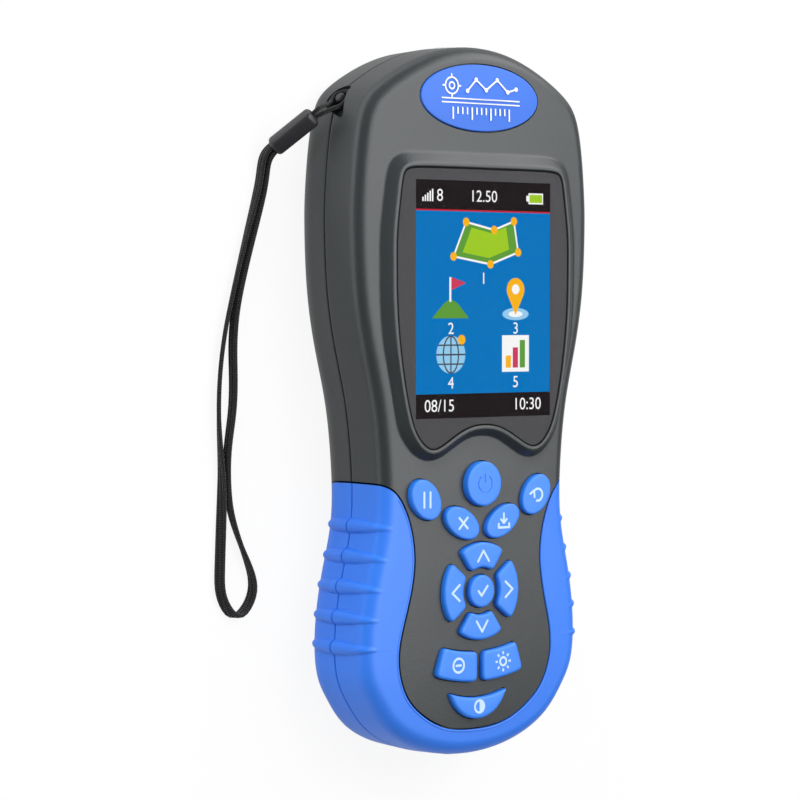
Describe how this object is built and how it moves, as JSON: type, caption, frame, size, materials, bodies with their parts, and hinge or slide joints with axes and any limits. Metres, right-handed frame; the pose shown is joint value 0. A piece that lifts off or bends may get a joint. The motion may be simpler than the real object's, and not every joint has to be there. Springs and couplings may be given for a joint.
{
  "type": "gps land area meter",
  "caption": "Handheld satellite land area meter: waisted two-part case with a raised screen collar, sprung blue keypad, ribbed soft grip, oval badge plate and a wrist strap.",
  "frame": {"origin": "on the flat back, in the middle of the case's length and width", "axes": "+Z out of the screen, +Y towards the top end with the torch, +X to the right of the screen"},
  "size_m": [0.0981, 0.1751, 0.0297],
  "materials": {
    "housing": "fine moulded grain",
    "grip": "satin",
    "badge": "satin print",
    "lens": "smooth, with a clear window",
    "display": "lit display",
    "white_plastic": "moulded",
    "board": "solder mask",
    "mat": "matte",
    "steel": "plated",
    "ceramic": "fired",
    "foil": "foil pouch",
    "clear": "clear",
    "cord": "braided",
    "slider": "satin",
    "keys": "satin, with light printed signs"
  },
  "bodies": {
    "housing": {"front_shell": "housing", "rear_shell": "housing", "grip_front": "grip", "grip_rear": "grip", "badge_plate": "badge", "screen_lens": "lens", "display_glass": "display", "display_holder": "white_plastic", "main_board": "board", "key_mat": "mat", "dome_switches": "steel", "patch_antenna": "ceramic", "receiver_module": "steel", "battery": "foil", "charge_socket": "steel", "torch_lens": "clear", "torch_led": "clear", "case_screws": "steel", "strap_pin": "steel", "lanyard_cord": "cord", "strap_slider": "slider", "wrist_strap": "cord"},
    "power_key": {"key_power": "keys"},
    "pause_key": {"key_pause": "keys"},
    "back_key": {"key_back": "keys"},
    "delete_key": {"key_delete": "keys"},
    "save_key": {"key_save": "keys"},
    "up_key": {"key_up": "keys"},
    "down_key": {"key_down": "keys"},
    "left_key": {"key_left": "keys"},
    "right_key": {"key_right": "keys"},
    "enter_key": {"key_enter": "keys"},
    "cash_key": {"key_cash": "keys"},
    "light_key": {"key_light": "keys"},
    "backlit_key": {"key_backlit": "keys"},
    "plug": {"port_plug": "grip"}
  },
  "joints": [
    {"name": "power_press", "type": "slide", "parent": "housing", "child": "power_key", "axis": [0, 0, -1], "range_m": [0, 0.0008], "stiffness_N_per_m": 1500, "springref_m": -0.0002},
    {"name": "pause_press", "type": "slide", "parent": "housing", "child": "pause_key", "axis": [0, 0, -1], "range_m": [0, 0.0008], "stiffness_N_per_m": 1500, "springref_m": -0.0002},
    {"name": "back_press", "type": "slide", "parent": "housing", "child": "back_key", "axis": [0, 0, -1], "range_m": [0, 0.0008], "stiffness_N_per_m": 1500, "springref_m": -0.0002},
    {"name": "delete_press", "type": "slide", "parent": "housing", "child": "delete_key", "axis": [0, 0, -1], "range_m": [0, 0.0008], "stiffness_N_per_m": 1500, "springref_m": -0.0002},
    {"name": "save_press", "type": "slide", "parent": "housing", "child": "save_key", "axis": [0, 0, -1], "range_m": [0, 0.0008], "stiffness_N_per_m": 1500, "springref_m": -0.0002},
    {"name": "up_press", "type": "slide", "parent": "housing", "child": "up_key", "axis": [0, 0, -1], "range_m": [0, 0.0008], "stiffness_N_per_m": 1500, "springref_m": -0.0002},
    {"name": "down_press", "type": "slide", "parent": "housing", "child": "down_key", "axis": [0, 0, -1], "range_m": [0, 0.0008], "stiffness_N_per_m": 1500, "springref_m": -0.0002},
    {"name": "left_press", "type": "slide", "parent": "housing", "child": "left_key", "axis": [0, 0, -1], "range_m": [0, 0.0008], "stiffness_N_per_m": 1500, "springref_m": -0.0002},
    {"name": "right_press", "type": "slide", "parent": "housing", "child": "right_key", "axis": [0, 0, -1], "range_m": [0, 0.0008], "stiffness_N_per_m": 1500, "springref_m": -0.0002},
    {"name": "enter_press", "type": "slide", "parent": "housing", "child": "enter_key", "axis": [0, 0, -1], "range_m": [0, 0.0008], "stiffness_N_per_m": 1500, "springref_m": -0.0002},
    {"name": "cash_press", "type": "slide", "parent": "housing", "child": "cash_key", "axis": [0, 0, -1], "range_m": [0, 0.0008], "stiffness_N_per_m": 1500, "springref_m": -0.0002},
    {"name": "light_press", "type": "slide", "parent": "housing", "child": "light_key", "axis": [0, 0, -1], "range_m": [0, 0.0008], "stiffness_N_per_m": 1500, "springref_m": -0.0002},
    {"name": "backlit_press", "type": "slide", "parent": "housing", "child": "backlit_key", "axis": [0, 0, -1], "range_m": [0, 0.0008], "stiffness_N_per_m": 1500, "springref_m": -0.0002},
    {"name": "plug_pull", "type": "slide", "parent": "housing", "child": "plug", "axis": [0, -1, 0], "range_m": [0, 0.008]}
  ]
}
